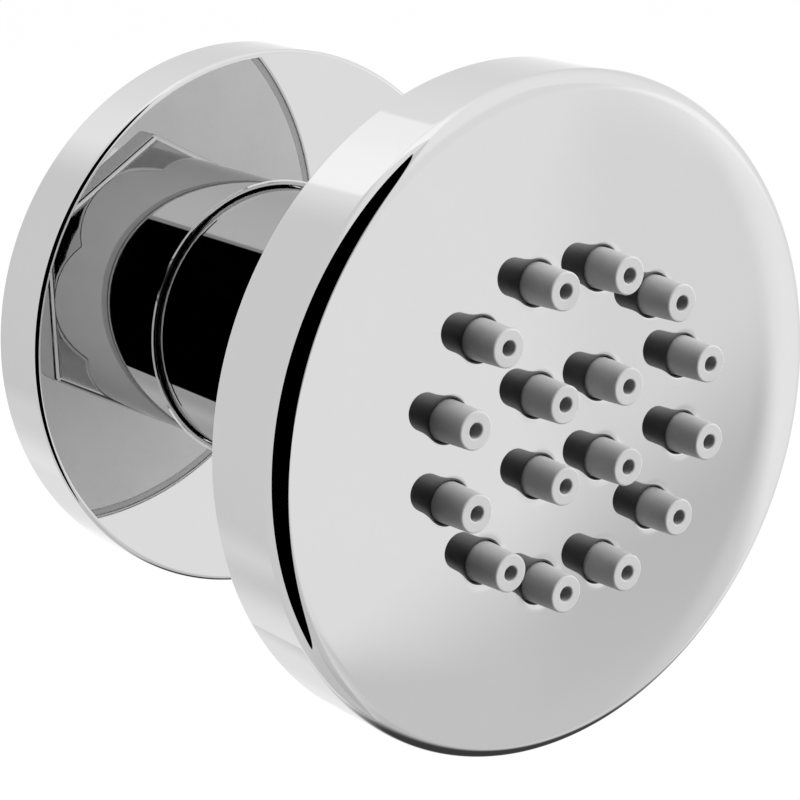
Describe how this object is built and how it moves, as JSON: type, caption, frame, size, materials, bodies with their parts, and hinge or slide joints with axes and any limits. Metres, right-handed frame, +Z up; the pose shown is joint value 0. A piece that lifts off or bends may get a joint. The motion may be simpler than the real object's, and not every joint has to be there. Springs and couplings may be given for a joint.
{
  "type": "shower body jet",
  "caption": "Wall-mounted shower body jet: round chrome flange, skirted hex nut holding a swivel ball, and a round tilting head with soft rub-clean nozzles.",
  "frame": {"origin": "on the jet's axis, in the plane of the wall that the flange's rim stands against", "axes": "+Y into the wall along the inlet thread, so the jet faces -Y; +Z up"},
  "size_m": [0.06, 0.0695, 0.06],
  "materials": {
    "chrome": "polished chrome plate",
    "ball_chrome": "polished chrome plate",
    "cover_grey": "satin grey",
    "brass": "turned",
    "foam_black": "matt",
    "rubber_black": "matt",
    "seal_grey": "matt",
    "washer_fibre": "matt",
    "acetal_white": "satin",
    "seat_white": "satin",
    "silicone_grey": "satin silicone",
    "plate_grey": "moulded",
    "regulator_blue": "moulded",
    "filter_white": "moulded",
    "steel": "bright"
  },
  "bodies": {
    "wall_part": {"wall_flange": "chrome", "flange_gasket": "foam_black", "flange_seal": "rubber_black", "inlet_nipple": "brass", "flow_regulator": "regulator_blue", "regulator_ring": "rubber_black", "inlet_filter": "filter_white", "inlet_washer": "washer_fibre", "swivel_nut": "chrome"},
    "tilt_ring": {"ball_ring": "acetal_white"},
    "pan_ring": {"ball_seat": "seat_white"},
    "head": {"swivel_ball": "ball_chrome", "neck_seal": "rubber_black", "neck_nut": "brass", "back_cover": "cover_grey", "cover_seal": "seal_grey", "face_shell": "chrome", "nozzle_mat": "silicone_grey", "spray_plate": "plate_grey", "plate_screws": "steel"}
  },
  "joints": [
    {"name": "head_tilt", "type": "hinge", "parent": "wall_part", "child": "tilt_ring", "pos_m": [0, -0.0225, 0], "axis": [1, 0, 0], "range_deg": [-14, 14]},
    {"name": "head_pan", "type": "hinge", "parent": "tilt_ring", "child": "pan_ring", "pos_m": [0, -0.0225, 0], "axis": [0, 0, 1], "range_deg": [-14, 14]},
    {"name": "head_spin", "type": "hinge", "parent": "pan_ring", "child": "head", "pos_m": [0, -0.0225, 0], "axis": [0, 1, 0], "continuous": true}
  ]
}
